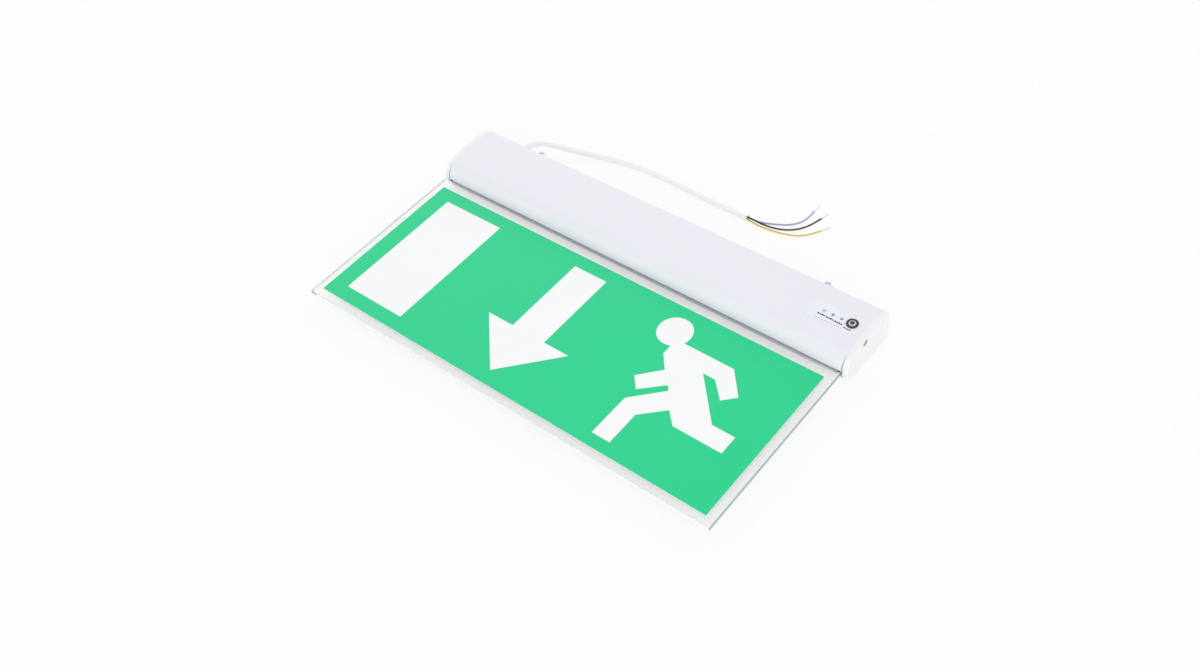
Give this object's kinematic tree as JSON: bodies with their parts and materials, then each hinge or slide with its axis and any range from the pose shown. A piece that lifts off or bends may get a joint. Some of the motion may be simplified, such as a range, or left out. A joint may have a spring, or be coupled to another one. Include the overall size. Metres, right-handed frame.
{
  "type": "emergency exit light",
  "caption": "Slim edge-lit emergency exit light: clear blade with a running-figure legend in an extruded housing with end caps, test button, suspension eyes and bare-ended flex.",
  "frame": {"origin": "under the middle of the light on the flat back it lies on, without the flex", "axes": "+X along the housing to the test-button end, +Y from the blade to the mounting side, +Z out of the legend's face"},
  "size_m": [0.3564, 0.2725, 0.0261],
  "materials": {
    "white_powder_coat": "white powder coat on extruded aluminium, satin",
    "white_moulding": "white moulded plastic, fine satin",
    "zinc_steel": "bright zinc",
    "clear_acrylic": "clear polished sheet",
    "clear_silicone": "translucent silicone",
    "white_film": "white opal film",
    "green_film": "green printed film, satin",
    "white_board": "white solder mask",
    "lamp_resin": "phosphor resin",
    "label_film": "pale label film",
    "black_plastic": "black moulded plastic",
    "grey_button": "grey plastic",
    "indicator_resin": "clear grey resin",
    "green_board": "green solder mask",
    "white_nylon": "natural nylon",
    "green_terminal": "green moulded terminal",
    "capacitor_sleeve": "black shrink sleeve",
    "yellow_film_capacitor": "yellow case",
    "ferrite": "ferrite core with a taped winding",
    "battery_sleeve": "yellow shrink sleeve",
    "spring_steel": "bare spring steel",
    "white_rubber": "white rubber",
    "white_sheath": "white flexible sheath",
    "blue_core": "blue insulation",
    "brown_core": "brown insulation",
    "green_yellow_core": "green and yellow striped insulation",
    "copper": "bared stranded copper, tinned"
  },
  "bodies": {
    "light": {"housing_profile": "white_powder_coat", "left_end_cap": "white_moulding", "right_end_cap": "white_moulding", "left_cap_screw": "zinc_steel", "right_cap_screw": "zinc_steel", "blade": "clear_acrylic", "blade_gasket": "clear_silicone", "legend_white_film": "white_film", "legend_green_film": "green_film", "lamp_strip_board": "white_board", "lamp_strip_lamps": "lamp_resin", "control_label": "label_film", "test_button_bezel": "black_plastic", "test_button_nut": "black_plastic", "test_switch_base": "black_plastic", "charge_indicator": "indicator_resin", "supply_indicator": "indicator_resin", "fault_indicator": "indicator_resin", "indicator_board": "green_board", "indicator_spacers": "white_nylon", "driver_board": "green_board", "terminal_block": "green_terminal", "smoothing_capacitor": "capacitor_sleeve", "mains_capacitor": "yellow_film_capacitor", "driver_transformer": "ferrite", "battery_socket": "white_nylon", "battery_pack": "battery_sleeve", "battery_clips": "spring_steel", "left_suspension_eye": "zinc_steel", "left_eye_nut": "zinc_steel", "right_suspension_eye": "zinc_steel", "right_eye_nut": "zinc_steel", "flex_grommet": "white_rubber", "mains_flex": "white_sheath", "neutral_core": "blue_core", "neutral_core_end": "copper", "live_core": "brown_core", "live_core_end": "copper", "earth_core": "green_yellow_core", "earth_core_end": "copper"},
    "test_button": {"test_button_cap": "grey_button"}
  },
  "joints": [
    {"name": "test_button_press", "type": "slide", "parent": "light", "child": "test_button", "axis": [0, 0, -1], "range_m": [0, 0.0012], "stiffness_N_per_m": 1500, "springref_m": -0.0004}
  ]
}
